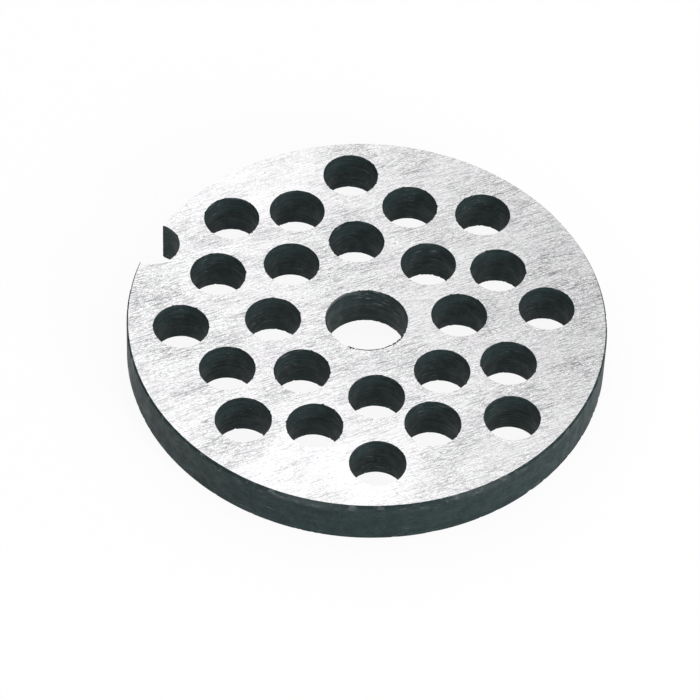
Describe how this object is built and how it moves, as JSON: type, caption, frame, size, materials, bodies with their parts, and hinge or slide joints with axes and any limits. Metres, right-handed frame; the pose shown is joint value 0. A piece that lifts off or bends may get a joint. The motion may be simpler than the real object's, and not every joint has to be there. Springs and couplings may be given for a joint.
{
  "type": "meat grinder plate",
  "caption": "Flat round steel meat grinder plate with a centre bore, rings of drilled grinding holes and a round locating notch in its rim.",
  "frame": {"origin": "on the centre bore's axis, at the bottom face that the plate rests on", "axes": "+Z along the bore's axis, from the bottom face to the cutting face; -X from the bore through the middle of the rim notch"},
  "size_m": [0.0698, 0.07, 0.007],
  "materials": {
    "plate_steel": "satin"
  },
  "bodies": {
    "root": {"grinder_plate": "plate_steel"}
  },
  "joints": []
}
